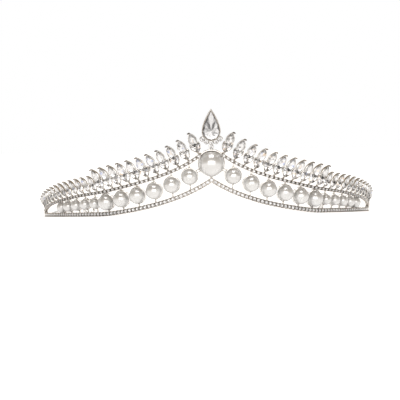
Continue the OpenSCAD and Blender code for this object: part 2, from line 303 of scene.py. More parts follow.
def bar_ring(middle, out, up, half_w, half_h, front):
    """A base bar's section, its eight corners counted from the back's lower edge round under the bar"""
    soft = BAR_EASE * half_h
    return [middle + y * out + z * up for y, z in (
        (-half_w, -half_h + soft), (-half_w + soft, -half_h), (front - soft / 2, -half_h),
        (front, -half_h + soft / 2), (front, half_h - soft / 2), (front - soft / 2, half_h),
        (-half_w + soft, half_h), (-half_w, half_h - soft))]


def chain_places(middle, start, end, pitch):
    """Places a pitch apart, measured along the rail itself, from start until end"""
    places, s = [], start
    while s <= end:
        places.append(s)
        stretch = (middle(s + 0.5) - middle(s - 0.5)).length
        s += pitch / stretch
    return places


# A claw cup's outline corner, and its walls in rows of size and depth, from the back round to the inside
CUP_CORNER = 0.82
CUP_WALLS = ((0.86, 1), (1, 0.65), (1, 0), (0.88, 0), (0.80, 0.45))


def claw_cup(half_w, half_h, front, back):
    """A square cup with thin walls, a hollow for the stone, and a claw at each corner"""
    corners = [(1, CUP_CORNER), (CUP_CORNER, 1), (-CUP_CORNER, 1), (-1, CUP_CORNER),
               (-1, -CUP_CORNER), (-CUP_CORNER, -1), (CUP_CORNER, -1), (1, -CUP_CORNER)]
    # The cup's walls and claws are painted a mid-tone shade
    parts = [loft([[(size * half_w * x, mix(front, back, depth), size * half_h * z) for x, z in corners]
                   for size, depth in CUP_WALLS], kind=MID_SHADE)]
    claw = ((0.86, mix(front, back, 0.5), 0.20), (0.84, front - 0.16, 0.21), (0.62, front - 0.34, 0.15))
    for x in (-1, 1):
        for z in (-1, 1):
            rows = [(x * half_w * reach, y, z * half_h * reach, r) for reach, y, r in claw]
            parts.append(bent_wire(rows, kind=MID_SHADE))
    return soldered(parts)


LOW_PITCH = 2.0
LOW_CHAIN_START = 1.75
CHAIN_END = 112.5
CUP_GAP = 0.18
right_places = chain_places(low_middle, LOW_CHAIN_START, CHAIN_END, LOW_PITCH)
low_places = [-s for s in reversed(right_places)] + [0.0] + right_places
bar_rings = []
for i in range(-BAR_STEPS, BAR_STEPS + 1):
    s = i / BAR_STEPS * BAND_HALF
    half_h = low_height(s) / 2 * math.sqrt(1 + low_slope(s) ** 2) * LOW_BAR
    half_w = low_width(s) / 2
    front = mix(LOW_BAR_FRONT, half_w, tongue(s) ** BAR_GROWTH)
    bar_rings.append(bar_ring(low_middle(s), outward(s), UP, half_w, half_h, front))
bar_points, bar_faces, bar_kinds = loft(bar_rings)
# The bar's front between the cups is painted dark, as shade in the gaps
for i in range(len(bar_rings) - 1):
    if abs(i - BAR_STEPS) < CHAIN_END / BAND_HALF * BAR_STEPS:
        bar_kinds[BAR_CORNERS * i + BAR_FRONT_SIDE] = PAINTED_SHADE
low_parts = [(bar_points, bar_faces, bar_kinds)]
for s in low_places:
    cup = claw_cup(LOW_PITCH / 2 - CUP_GAP, low_height(s) / 2, -LOW_W / 2 + 0.35, 0.2)
    low_parts.append(placed(cup, on_low_rail(s)))
# Each finish's first tone is the painted shade in its recesses
silver = sheet_metal("silver_plate", (0.46, 0.425, 0.39), (0.94, 0.93, 0.91))
painted_shade = sheet_metal("painted_shade_recess", (0.15, 0.13, 0.11), (0.22, 0.19, 0.165))
mid_shade = sheet_metal("mid_shade_claws", (0.26, 0.235, 0.21), (0.70, 0.665, 0.625))
finishes = [silver, painted_shade, mid_shade]
make_piece("lower_rail", soldered(low_parts), finishes, "frame")

# Lower rail stones: small round brilliants with a mirror foil painted on the back, one pressed into each
# cup and held by its four corner claws.
GLASS, FOIL = 0, 1


def flat_outline(count, radius):
    return [(radius * math.cos(q), radius * math.sin(q)) for q in round_turn(count)]


def cut_stone(edge, crown, girdle, pavilion, table=0.52, culet=(0.06, 0.06)):
    """A brilliant cut over any outline: y 0 is the front edge of its girdle, and its table faces -Y"""
    n = len(edge) // 2
    points = [Vector((x, 0, z)) for x, z in edge] + [Vector((x, girdle, z)) for x, z in edge]
    faces = [(i, (i + 1) % (2 * n), 2 * n + (i + 1) % (2 * n), 2 * n + i) for i in range(2 * n)]
    kinds = [FOIL] * len(faces)
    for first, y, rise, flat, reach, kind in ((0, 0, -crown, (table, table), 0.6, GLASS),
                                              (2 * n, girdle, pavilion, culet, 0.4, FOIL)):
        tops = len(points)
        points += [Vector((flat[0] * x, y + rise, flat[1] * z)) for x, z in edge[::2]]
        mids = len(points)
        spread = [mix(part, 1, reach) for part in flat]
        fall = (1 - spread[0] * math.cos(math.pi / n)) / (1 - flat[0])
        points += [Vector((spread[0] * x, y + rise * fall, spread[1] * z)) for x, z in edge[1::2]]
        new = [tuple(range(tops, tops + n))]
        for k in range(n):
            k_next, k_last = (k + 1) % n, (k - 1) % n
            corner, between, after = first + 2 * k, first + 2 * k + 1, first + (2 * k + 2) % (2 * n)
            new += [(tops + k, mids + k, tops + k_next), (tops + k, mids + k_last, corner, mids + k),
                    (mids + k, corner, between), (mids + k, between, after)]
        faces += new
        kinds += [kind] * len(new)
    return points, faces, kinds


def clear_glass(name, ior):
    material, tree, shader = new_finish(name)
    shader.inputs["Transmission Weight"].default_value = 1.0
    shader.inputs["IOR"].default_value = ior
    shader.inputs["Base Color"].default_value = (0.99, 0.99, 1.0, 1)
    tree.links.new(span(tree, mottle(tree, 900.0), 0.0, 0.05), shader.inputs["Roughness"])
    return material


def mirror_foil(name, metal):
    material, tree, shader = new_finish(name)
    shader.inputs["Metallic"].default_value = metal
    # The foil's colour is the painted glints and painted shade of each facet
    fire = tree.nodes.new("ShaderNodeAttribute")
    fire.attribute_name = "fire"
    tree.links.new(fire.outputs["Color"], shader.inputs["Base Color"])
    tree.links.new(span(tree, mottle(tree, 3000.0), 0.02, 0.12), shader.inputs["Roughness"])
    return material


# What the foil's facets throw back is painted in: tones and their shares. Chain and crest stones are pale,
# the large leaf stones have most painted fire, and the small leaf stones have more painted shade.
PALE = [((1.0, 1.0, 1.0), 12), ((0.86, 0.86, 0.87), 4), ((0.60, 0.60, 0.62), 1)]
FIRE = [((1.0, 1.0, 1.0), 26), ((0.84, 0.83, 0.82), 4), ((0.55, 0.54, 0.53), 2), ((0.20, 0.20, 0.20), 1),
        ((1.0, 0.78, 0.58), 1), ((0.68, 0.75, 1.0), 1)]
SHADED_GLINTS = [((1.0, 1.0, 1.0), 14), ((0.74, 0.74, 0.76), 5), ((0.38, 0.38, 0.41), 3), ((0.08, 0.08, 0.08), 1),
         ((1.0, 0.84, 0.70), 1)]


def tint(fire, face, colour):
    for corner in face.loop_indices:
        fire.data[corner].color = (*colour, 1)


def add_fire(item, seed, palette):
    """Paints each facet of the foil with its own share of light, as painted glints and painted shade, and
    now and then a colour
    """
    draw = random.Random(seed)
    colours = draw.choices([c for c, share in palette], [share for c, share in palette],
                           k=len(item.data.polygons))
    fire = item.data.color_attributes.new(name="fire", type="FLOAT_COLOR", domain="CORNER")
    for face, colour in zip(item.data.polygons, colours):
        tint(fire, face, colour)
    return fire


def tipped(draw, degrees=3.0):
    """The small lean with which a stone sits in its cup"""
    return (Matrix.Rotation(math.radians(draw.uniform(-degrees, degrees)), 4, "X")
            @ Matrix.Rotation(math.radians(draw.uniform(-degrees, degrees)), 4, "Z"))


CHAIN_CORNERS = 12
LOW_CUT = {"crown": 0.30, "girdle": 0.06, "pavilion": 0.14}
LOW_STONE_IN = 0.42
glass = clear_glass("clear_crystal", 1.62)
foil = mirror_foil("mirror_foil", 0.85)
chain_foil = mirror_foil("chain_foil", 0.55)
draw = random.Random(11)
low_stones = []
for s in low_places:
    radius = min(LOW_PITCH / 2 - 0.25, low_height(s) / 2 - 0.14)
    stone = cut_stone(flat_outline(CHAIN_CORNERS, radius), **LOW_CUT)
    low_stones.append(placed(stone, on_low_rail(s, LOW_W / 2 - LOW_STONE_IN) @ tipped(draw)))
chain_finishes = [glass, chain_foil]
chain_low = make_piece("lower_rail_stones", soldered(low_stones), chain_finishes, smooth_to=0)
add_fire(chain_low, 3, PALE)

# Upper rail: the same claw chain in the next smaller size, from the arch to the tongues. Both rails close
# on each other near the ends, where they are soldered and filed to one tapered tongue.
TOP_H_FRONT = 1.7
TOP_H_END = 1.2
TOP_W = 1.6
TOP_BAR = 0.84
TOP_BAR_FRONT = -0.05

# The gap between the rails' middles, widest beside the centre pearl and closing to the tongue
RAIL_GAP = 12.2
GAP_SHAPE = 0.8
TONGUE_GAP = 1.0
SHOULDER_GAP = 3.8
SHOULDER_FALL = 8.0
ARCH_END = 5.2


def band_up(s):
    return math.cos(BAND_FLARE) * UP + math.sin(BAND_FLARE) * outward(s)


def band_out(s):
    return math.cos(BAND_FLARE) * outward(s) - math.sin(BAND_FLARE) * UP


def band_point(s, up, out=0.0):
    return low_middle(s) + up * band_up(s) + out * band_out(s)


def rail_gap(s):
    closing = max(0.0, math.cos(math.pi / 2 * min(1.0, abs(s) / CLOSE_AT)))
    return TONGUE_GAP + RAIL_GAP * closing ** GAP_SHAPE + SHOULDER_GAP * math.exp(-abs(s) / SHOULDER_FALL)


def top_height(s):
    return mix(mix(TOP_H_FRONT, TOP_H_END, abs(s) / CLOSE_AT), TONGUE_H / 2, tongue(s))


def top_width(s):
    return mix(TOP_W, TONGUE_W, tongue(s))


def top_middle(s):
    return band_point(s, rail_gap(s))


def top_stretch(s):
    """The upper rail's length for each millimetre along the band"""
    return (top_middle(s + 0.5) - top_middle(s - 0.5)).length


def on_top_rail(s, out=0.0):
    across = (top_middle(s + 0.25) - top_middle(s - 0.25)).normalized()
    back = -band_out(s)
    back = (back - back.dot(across) * across).normalized()
    return standing(top_middle(s) - out * back, across, back, across.cross(back))


TOP_PITCH = 2.3
TOP_START = ARCH_END - 0.5
TOP_CHAIN_START = TOP_START + 0.9
right_top = chain_places(top_middle, TOP_CHAIN_START, CHAIN_END, TOP_PITCH)
top_places = [-s for s in reversed(right_top)] + right_top
top_parts = []
for side in (-1, 1):
    bar_rings = []
    for i in range(BAR_STEPS + 1):
        s = side * mix(TOP_START, BAND_HALF, i / BAR_STEPS)
        half_h = top_height(s) / 2 * top_stretch(s) * TOP_BAR
        half_w = top_width(s) / 2
        front = mix(TOP_BAR_FRONT, half_w, tongue(s) ** BAR_GROWTH)
        bar_rings.append(bar_ring(top_middle(s), band_out(s), band_up(s), half_w, half_h, front))
    bar_points, bar_faces, bar_kinds = loft(bar_rings)
    # The bar's front between the cups is painted dark, as shade in the gaps
    for i in range(BAR_STEPS):
        if mix(TOP_START, BAND_HALF, (i + 1) / BAR_STEPS) < CHAIN_END:
            bar_kinds[BAR_CORNERS * i + BAR_FRONT_SIDE] = PAINTED_SHADE
    top_parts.append((bar_points, bar_faces, bar_kinds))
for s in top_places:
    half_h = top_height(s) / 2
    half_w = min(TOP_PITCH / 2 - 0.1, half_h * 1.08)
    top_parts.append(placed(claw_cup(half_w, half_h, -TOP_W / 2 + 0.28, 0.12), on_top_rail(s)))
make_piece("upper_rail", soldered(top_parts), finishes, "frame")

TOP_CUT = {"crown": 0.26, "girdle": 0.05, "pavilion": 0.12}
TOP_STONE_IN = 0.34
top_stones = []
for s in top_places:
    stone = cut_stone(flat_outline(CHAIN_CORNERS, top_height(s) / 2 - 0.1), **TOP_CUT)
    top_stones.append(placed(stone, on_top_rail(s, TOP_W / 2 - TOP_STONE_IN) @ tipped(draw)))
chain_top = make_piece("upper_rail_stones", soldered(top_stones), chain_finishes, smooth_to=0)
add_fire(chain_top, 4, PALE)

# Arch: a plain wire bent close over the centre pearl and soldered to the inner ends of the upper rail. The
# crest stands on top of it.
CENTRE_UP = 7.8
CENTRE_R = 6.0
ARCH_R = CENTRE_R + 0.6
ARCH_WIRE = 0.9
ARCH_TOP = CENTRE_UP + ARCH_R
ARCH_STEPS = 20
ARCH_SIDES = 12
arch_turn = math.asin(ARCH_END / ARCH_R)
arch_rings = []
for i in range(-ARCH_STEPS, ARCH_STEPS + 1):
    turn = i / ARCH_STEPS * arch_turn
    raised = math.cos(turn) * band_up(0) + Vector((math.sin(turn), 0, 0))
    middle = band_point(0, CENTRE_UP) + ARCH_R * raised
    arch_rings.append([middle + ARCH_WIRE / 2 * (math.cos(q) * band_out(0) + math.sin(q) * raised)
                       for q in round_turn(ARCH_SIDES)])
make_piece("pearl_arch", loft(arch_rings), [silver], "frame")

# Collars: each pearl sits in a pair of thin rings joined by short bars, held between the rails by a wire
# stem above and below it, with a small bead on each stem that has room for one. Two links on each side
# tie the centre pearl to its neighbours.
SEAT_GAP = 0.12

# The pearls on each side: six large ones and then five small ones, each row evenly spaced
LARGE_PEARLS = 6
SIDE_PEARLS = 11
LARGE_R = 3.75
SMALL_R = 2.45
LARGE_FIRST = 10.0
LARGE_PITCH = 8.35
SMALL_FIRST = 58.75
SMALL_PITCH = 6.45


def pearl_place(i):
    if i <= LARGE_PEARLS:
        return LARGE_FIRST + (i - 1) * LARGE_PITCH
    return SMALL_FIRST + (i - 1 - LARGE_PEARLS) * SMALL_PITCH


def pearl_radius(i):
    return LARGE_R if i <= LARGE_PEARLS else SMALL_R


def pearl_up(i):
    """Half way between the lowest and the highest place that the rails leave for this pearl"""
    s, r = pearl_place(i), pearl_radius(i)
    floor_up = (low_height(s) / 2 * math.sqrt(1 + low_slope(s) ** 2) + r) / math.cos(BAND_FLARE)
    roof_up = rail_gap(s) - top_height(s) / 2 * top_stretch(s) - r
    return (floor_up + roof_up) / 2


def on_band(s, up):
    return standing(band_point(s, up), along(s), -band_out(s), band_up(s))


def hoop(radius, thickness, y=0.0, steps=36, sides=8):
    rings = []
    for turn in round_turn(steps):
        out = Vector((math.cos(turn), 0, math.sin(turn)))
        middle = radius * out + Vector((0, y, 0))
        rings.append([middle + thickness * (math.cos(q) * out + math.sin(q) * Vector((0, 1, 0)))
                      for q in round_turn(sides)])
    return loft(rings, closed=True)


def bead(middle, radius, squash=(1, 1, 1), sides=12):
    rings = []
    for i in range(1, sides // 2):
        tilt = math.pi * i / (sides // 2)
        rings.append([Vector(middle) + Vector((radius * squash[0] * math.sin(tilt) * math.cos(q),
                                               radius * squash[1] * math.sin(tilt) * math.sin(q),
                                               radius * squash[2] * math.cos(tilt)))
                      for q in round_turn(sides)])
    return loft(rings)


# Where a collar's two rings are behind the pearl's middle, and the wires they are made of
RING_NEAR = 0.7
RING_FAR = 2.1
RING_MIDDLE = (RING_NEAR + RING_FAR) / 2
RING_WIRE = 0.17
BAR_WIRE = 0.14
STEM_WIRE = 0.34
LINK_WIRE = 0.26
LINK_HALF_GAP = 0.55
BEAD_ROOM = 1.4


def quarter_turns():
    """The four directions half way between up, down, left and right, where bars and claws stand"""
    for i in range(4):
        turn = math.pi * (2 * i + 1) / 4
        yield Vector((math.cos(turn), 0, math.sin(turn)))


def collar(r, below, above):
    ring_r = r + SEAT_GAP + RING_WIRE * 0.6
    parts = [hoop(ring_r, RING_WIRE, RING_NEAR), hoop(ring_r - 0.1, RING_WIRE, RING_FAR)]
    for out in quarter_turns():
        foot = (ring_r - 0.05) * out
        parts.append(wire([foot + Vector((0, RING_NEAR, 0)), foot + Vector((0, RING_FAR, 0))],
                          BAR_WIRE, FINE_SIDES))
    parts.append(wire([(0, RING_MIDDLE, -below), (0, RING_MIDDLE, -r - SEAT_GAP - 0.1)], STEM_WIRE))
    parts.append(wire([(0, RING_MIDDLE, r + SEAT_GAP + 0.1), (0, RING_MIDDLE, above)], STEM_WIRE))
    if above - r > BEAD_ROOM:
        parts.append(bead((0, RING_MIDDLE, r + 0.75), 0.52))
    if below - r > BEAD_ROOM:
        parts.append(bead((0, RING_MIDDLE, -r - 0.72), 0.48))
    return soldered(parts)


collar_parts = [placed(collar(CENTRE_R, CENTRE_UP, ARCH_R), on_band(0, CENTRE_UP))]
for i in range(1, SIDE_PEARLS + 1):
    for side in (-1, 1):
        s = side * pearl_place(i)
        holder = collar(pearl_radius(i), pearl_up(i), rail_gap(s) - pearl_up(i))
        collar_parts.append(placed(holder, on_band(s, pearl_up(i))))
for side in (-1, 1):
    near = band_point(0, CENTRE_UP)
    far = band_point(side * LARGE_FIRST, pearl_up(1))
    way = (far - near).normalized()
    across = way.cross(band_out(0)).normalized()
    behind = -RING_MIDDLE * band_out(0)
    for k in (-LINK_HALF_GAP, LINK_HALF_GAP):
        collar_parts.append(wire([near + (CENTRE_R + 0.3) * way + k * across + behind,
                                  far - (LARGE_R + 0.3) * way + k * across + behind], LINK_WIRE))
make_piece("pearl_collars", soldered(collar_parts), [silver], "frame")

# Pearls: 23 round glass pearls in a white pearl coat. They stay as the solids are, with a satin body, a
# bright clear skin over it and faint clouds in its colour and gloss.
def pearl_coat(name):
    material, tree, shader = new_finish(name)
    clouds = mottle(tree, 160.0, 3.0)
    colour = tones(tree, clouds, (0.3, (0.645, 0.64, 0.635)), (0.7, (0.695, 0.693, 0.69)))
    tree.links.new(colour, shader.inputs["Base Color"])
    tree.links.new(span(tree, clouds, 0.20, 0.32), shader.inputs["Roughness"])
    shader.inputs["Metallic"].default_value = 0.5
    shader.inputs["IOR"].default_value = 1.6
    shader.inputs["Coat Weight"].default_value = 1.0
    shader.inputs["Coat Roughness"].default_value = 0.05
    shader.inputs["Coat IOR"].default_value = 1.6
    relief(tree, mottle(tree, 1800.0), 0.06, 0.00003, shader)
    return material


pearl_white = pearl_coat("pearl_coat")
for name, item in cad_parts.items():
    if name.startswith("pearl_"):
        item.data.materials.clear()
        item.data.materials.append(pearl_white)
        item.data.shade_smooth()

# Leaf settings: 48 cast leaves soldered to the upper rail by their stems, each a long cup between two
# small ones, with a hooked claw at the top and claws where the stones' points meet.
LARGE_LEAVES = 11
SMALL_LEAVES = 13
SIDE_LEAVES = LARGE_LEAVES + SMALL_LEAVES
LEAF_FIRST = 5.3
LEAF_PITCH = 4.6
SMALL_LEAF_FIRST = 55.5
SMALL_LEAF_LAST = 107.0
LEAF_FLARE = math.radians(18)
LEAF_LARGE_H = 12.1
LEAF_SMALL = 0.76
LEAF_LAST = 0.66

# A leaf's lean to its own side in degrees, and how much less it is beside the crest and more at the end
LEAN = 25
LEAN_LESS = 6
LEAN_MORE = 23

# One leaf, before it is scaled: half width, half length and crown of its stones, and the cups' walls
MAIN_W = 1.85
MAIN_L = 3.6
MAIN_MID = 7.9
MAIN_CROWN = 1.3
SIDE_W = 0.85
SIDE_L = 2.4
SIDE_TURN = math.radians(21)
SIDE_BASE = (0.42, 1.7)
SIDE_CROWN = 0.8
CLAW_W = 0.5
CUP_WALL = 0.22
CUP_BACK = 0.82
LEAF_MODEL_H = MAIN_MID + MAIN_L + SEAT_GAP + CLAW_W


def leaf_place(i):
    if i <= LARGE_LEAVES:
        return LEAF_FIRST + (i - 1) * LEAF_PITCH
    return mix(SMALL_LEAF_FIRST, SMALL_LEAF_LAST, (i - 1 - LARGE_LEAVES) / (SMALL_LEAVES - 1))


def on_leaf(i, side):
    s = leaf_place(i)
    far = part_way(s, SMALL_LEAF_FIRST, SMALL_LEAF_LAST)
    lean = side * math.radians(LEAN - LEAN_LESS * math.exp(-s / SHOULDER_FALL) + LEAN_MORE * far ** 2)
    size = LEAF_LARGE_H / LEAF_MODEL_H if i <= LARGE_LEAVES else mix(LEAF_SMALL, LEAF_LAST, far)
    s *= side
    up = math.cos(LEAF_FLARE) * UP + math.sin(LEAF_FLARE) * outward(s)
    stalk = math.cos(lean) * up + math.sin(lean) * along(s)
    across = math.cos(lean) * along(s) - math.sin(lean) * up
    return standing(top_middle(s), across, stalk.cross(across), stalk) @ Matrix.Scale(size, 4)


def moved(x, y, z):
    return Matrix.Translation((x, y, z))


def boat(half_w, half_l, steps):
    """An outline pointed at both ends, from its right side round by its upper point"""
    outline = []
    for i in range(4 * steps):
        t = (i / steps + 1) % 4
        z = half_l * (t - 1 if t <= 2 else 3 - t)
        x = half_w * (1 - (z / half_l) ** 2) * (1 if t <= 2 else -1)
        outline.append((x, z))
    return outline


def boat_cup(half_w, half_l, lip, steps=6):
    """A pointed cup from its back round over the lip and down inside; each ring is some room wider"""
    rings = ((CUP_WALL * 0.6, CUP_BACK), (CUP_WALL, CUP_BACK - 0.14), (CUP_WALL, lip + 0.1),
             (CUP_WALL * 0.55, lip), (0.0, lip + 0.06), (-0.16, CUP_BACK - 0.25))
    return loft([[(x, y, z) for x, z in boat(half_w + room, half_l + 1.6 * room, steps)]
                 for room, y in rings])


def to_side_leaf(side):
    return (moved(side * SIDE_BASE[0], 0, SIDE_BASE[1])
            @ Matrix.Rotation(side * SIDE_TURN, 4, "Y") @ moved(0, 0, SIDE_L))


# The wires of a leaf, in rows of x, y, z and radius. The hook starts at the main cup's top and the neck
# claw at its foot, a side cup's claws at its two points, and the flank claws beside the main cup.
HOOK_ROOT = ((0, 0.5, -0.6, 0.3), (0, 0.3, -0.1, 0.32), (0, 0.1, 0.12, 0.32))
HOOK = ((0, 0.1, 0.1, 0.34), (0.1, -0.25, 0.34, 0.37), (0.42, -0.5, 0.42, 0.37), (0.9, -0.55, 0.36, 0.3))
TIP_CLAW = ((0, 0.5, 0.1, 0.22), (0, -0.15, 0.18, 0.2), (0, -0.42, -0.25, 0.14))
FOOT_CLAW = ((0, 0.5, -0.1, 0.2), (0, -0.15, -0.12, 0.2), (0, -0.4, 0.3, 0.14))
FLANK_CLAW = ((0.3, 0.5, -1.8, 0.2), (0.22, -0.4, -1.8, 0.19), (-0.14, -0.66, -1.72, 0.12))
NECK_CLAW = ((0, 0.5, -0.15, 0.3), (0, -0.3, -0.1, 0.28), (0, -0.6, 0.42, 0.17))
STEM_BACK = 0.47


def raised_wire(rows, up, sides=FINE_SIDES, kind=PLATED, hand=1, out=0.0):
    """A wire of the leaf, some way up and out to one side of it; hand is -1 for its mirror image"""
    return bent_wire([(hand * (x + out), y, up + z, r) for x, y, z, r in rows], sides, kind)


def leaf_setting(hand):
    top, low = MAIN_MID + MAIN_L, MAIN_MID - MAIN_L
    parts = [placed(boat_cup(MAIN_W, MAIN_L, -0.5), moved(0, 0, MAIN_MID))]
    parts.append(raised_wire(HOOK_ROOT, top, 8))
    # The hook is painted dark, as shade
    parts.append(raised_wire(HOOK, top, 8, PAINTED_SHADE, hand))
    for side in (-1, 1):
        place = to_side_leaf(side)
        parts.append(placed(boat_cup(SIDE_W, SIDE_L, -0.25, 4), place))
        parts.append(placed(raised_wire(TIP_CLAW, SIDE_L), place))
        parts.append(placed(raised_wire(FOOT_CLAW, -SIDE_L), place))
        parts.append(raised_wire(FLANK_CLAW, MAIN_MID, hand=side, out=MAIN_W * 0.72))
    parts.append(raised_wire(NECK_CLAW, low))
    parts.append(wire([(0, STEM_BACK, z) for z in (0.1, 2.4, low + 0.3)], [0.38, 0.3, 0.34]))
    knot = hoop(0.36, 0.2, 0.0, 14, FINE_SIDES)
    parts.append(placed(knot, moved(0, STEM_BACK, 1.05) @ Matrix.Rotation(math.pi / 2, 4, "X")))
    return soldered(parts)


leaf_parts = []
for side in (-1, 1):
    one_leaf = leaf_setting(side)
    leaf_parts += [placed(one_leaf, on_leaf(i, side)) for i in range(1, SIDE_LEAVES + 1)]
make_piece("leaf_settings", soldered(leaf_parts), finishes, "frame")

# Leaf stones: navettes with foiled backs, one long one and two small ones to a leaf. The long ones have
# painted shade on the foil of their lower points, each to its own degree.
GIRDLE_AT = -0.42
SIDE_GIRDLE_AT = -0.2
LONG_FLATS = {"table": 0.5, "culet": (0.05, 0.4)}
MAIN_CUT = {"crown": MAIN_CROWN + GIRDLE_AT, "girdle": 0.1, "pavilion": 0.5, **LONG_FLATS}
SIDE_CUT = {"crown": SIDE_CROWN + SIDE_GIRDLE_AT, "girdle": 0.08, "pavilion": 0.4, **LONG_FLATS}
STONE_TIP = 2.0
DARK_TONES = (0.08, 0.12, 0.2, 0.45, 0.8)
DARK_BELOW = -0.38 * MAIN_L
DARK_SHARE = 0.7
leaf_foil = mirror_foil("leaf_foil", 0.6)
for side, hand in ((-1, "left"), (1, "right")):
    draw = random.Random(30 + side)
    long_stone = cut_stone(boat(MAIN_W, MAIN_L, 4), **MAIN_CUT)
    small_stone = cut_stone(boat(SIDE_W, SIDE_L, 3), **SIDE_CUT)
    long_stones, small_stones = [], []
    for i in range(1, SIDE_LEAVES + 1):
        place = on_leaf(i, side)
        seat = place @ moved(0, GIRDLE_AT, MAIN_MID)
        long_stones.append(placed(long_stone, seat @ tipped(draw, STONE_TIP)))
        for leaf in (-1, 1):
            seat = place @ to_side_leaf(leaf) @ moved(0, SIDE_GIRDLE_AT, 0)
            small_stones.append(placed(small_stone, seat @ tipped(draw, STONE_TIP)))
    long_field = make_piece(f"main_navettes_{hand}", soldered(long_stones), [glass, leaf_foil],
                            f"main_stones_{hand}", smooth_to=0)
    fire = add_fire(long_field, 40 + side, FIRE)
    # Painted shade: foil facets in each long stone's lower point are painted a dark tone
    points, faces = long_stone[:2]
    dark_faces = [sum(points[k].z for k in face) / len(face) < DARK_BELOW for face in faces]
    for k, face in enumerate(long_field.data.polygons):
        if k % len(faces) == 0:
            dark_tone = draw.choice(DARK_TONES)
        if dark_faces[k % len(faces)] and draw.random() < DARK_SHARE:
            tint(fire, face, (dark_tone, dark_tone, dark_tone))
    small_field = make_piece(f"leaf_navettes_{hand}", soldered(small_stones), [glass, foil],
                             f"leaf_stones_{hand}", smooth_to=0)
    add_fire(small_field, 50 + side, SHADED_GLINTS)

# Crest: the tall bezel at the peak, its edge rolled in small beads, with a fan of five claw cups under it
# and one on the short bar that carries it all on the arch.
DROP_FLARE = math.radians(12)

# The teardrop's outline counts from the middle of its round end, and the cups from the top of the arch
DROP_R = 4.4
DROP_H = 10.65
DROP_SHAPE = 1.65
CRADLE_R = 0.9
CRADLE_UP = 3.4
CRADLE_OUT = DROP_R + 1.15
CRADLE_ANGLES = (-48, -24, 0, 24, 48)
STEM_STONE_UP = ARCH_WIRE / 2 + SEAT_GAP + CRADLE_R
DROP_MID = CRADLE_UP + CRADLE_OUT


def drop(room, steps):
    """The bezel's outline, moved out by some room, from its tip round by its right side"""
    r, h = DROP_R + room, DROP_H + 2.2 * room
    half_turn = [math.pi * i / (2 * steps) for i in range(2 * steps + 1)]
    sides = [(r * (1 - t ** DROP_SHAPE), h * t) for t in [1 - i / steps for i in range(steps)]]
    bottom = [(r * math.cos(q), -r * math.sin(q)) for q in half_turn]
    return sides + bottom + [(-x, z) for x, z in sides[:0:-1]]


def drop_rings(rows):
    """The outline once for each row of room and depth"""
    return [[(x, y, z + DROP_MID) for x, z in drop(room, 16)] for room, y in rows]


on_crest = standing(band_point(0, ARCH_TOP), Vector((1, 0, 0)),
                    Vector((0, math.cos(DROP_FLARE), math.sin(DROP_FLARE))),
                    Vector((0, -math.sin(DROP_FLARE), math.cos(DROP_FLARE))))

# The bezel's wall goes from its back round over the rim and down inside; a band painted dark as shade lies
# in the rim's channel
FRONT, BACK = -1.1, 1.1
BEZEL = ((-0.3, BACK), (0, BACK - 0.25), (0, FRONT + 0.35), (-0.08, FRONT + 0.3), (-0.38, FRONT + 0.3),
         (-0.42, FRONT + 0.05), (-0.58, FRONT + 0.2), (-0.62, BACK - 0.3))
CHANNEL = ((-0.04, FRONT + 0.31), (-0.06, FRONT + 0.24), (-0.4, FRONT + 0.24), (-0.41, FRONT + 0.31))
BEAD_R = 0.26
BEAD_PITCH = 0.66
crest_parts = [loft(drop_rings(BEZEL)), loft(drop_rings(CHANNEL), closed=True, kind=PAINTED_SHADE)]
edge = [Vector((x, FRONT + 0.16, z + DROP_MID)) for x, z in drop(-0.2, 60)]
walked, next_bead = 0.0, 0.0
for a, b in zip(edge, edge[1:] + edge[:1]):
    walked += (b - a).length
    if walked >= next_bead:
        crest_parts.append(bead(b, BEAD_R, sides=8))
        next_bead += BEAD_PITCH

# A round cup's wall in rows of room and depth, and one of its claws in rows of room, depth and radius
ROUND_WALL = ((0.1, 0.9), (0.34, 0.7), (0.3, 0.05), (0.14, -0.05), (0.02, 0.05), (-0.2, 0.6))
ROUND_CLAW = ((0.22, 0.5, 0.2), (0.2, -0.2, 0.2), (-0.14, -0.38, 0.13))
ROUND_STEPS = 24


def round_cup(r):
    rings = [[((r + room) * math.cos(q), y, (r + room) * math.sin(q)) for q in round_turn(ROUND_STEPS)]
             for room, y in ROUND_WALL]
    parts = [loft(rings)]
    for out in quarter_turns():
        path = [(r + room) * out + Vector((0, y, 0)) for room, y, thick in ROUND_CLAW]
        parts.append(wire(path, [thick for room, y, thick in ROUND_CLAW], FINE_SIDES))
    return soldered(parts)


cradle_places = [moved(0, 0, DROP_MID) @ Matrix.Rotation(math.radians(angle), 4, "Y")
                 @ moved(0, 0, -CRADLE_OUT) for angle in CRADLE_ANGLES]
cradle_places.append(moved(0, 0, STEM_STONE_UP))
crest_parts += [placed(round_cup(CRADLE_R), place) for place in cradle_places]
crest_stem = [(0, 0.8, -0.3), (0, 0.95, 2.4), (0, 0.8, DROP_MID - DROP_R + 0.2)]
crest_parts.append(wire(crest_stem, [0.5, 0.36, 0.44]))
make_piece("crest_metal", placed(soldered(crest_parts), on_crest), finishes, "frame")

# Crest stones: the pear-cut stone in the bezel, with painted light and shade for each facet of its foil,
# and six round brilliants in the cups.
DROP_ROOM = -0.55
DROP_CUT = {"crown": 0.4, "girdle": 0.2, "pavilion": 0.32, "table": 0.72}
ROUND_CUT = {"crown": 0.45, "girdle": 0.05, "pavilion": 0.55}
ROUND_CORNERS = 16


def drop_tone(x, z):
    """Painted light and shade on the foil: dark flanks over the round end, a pale middle, and a rim that
    is lightest on its right side
    """
    if 0.2 < z < 4.5 and 0.12 * z < abs(x) < 0.45 * z:
        return 0.16
    if z > 0.3:
        near_edge = abs(x) / (DROP_R * (1 - (z / DROP_H) ** DROP_SHAPE))
        inside = 0.74 if near_edge < 0.3 else 0.42 if x < 0 else 0.60
    else:
        near_edge = math.hypot(x, z) / DROP_R
        inside = 0.76 if x < 0.8 else 0.4
    if near_edge > 0.62:
        return 0.60 if x < 0 else 0.8
    return inside


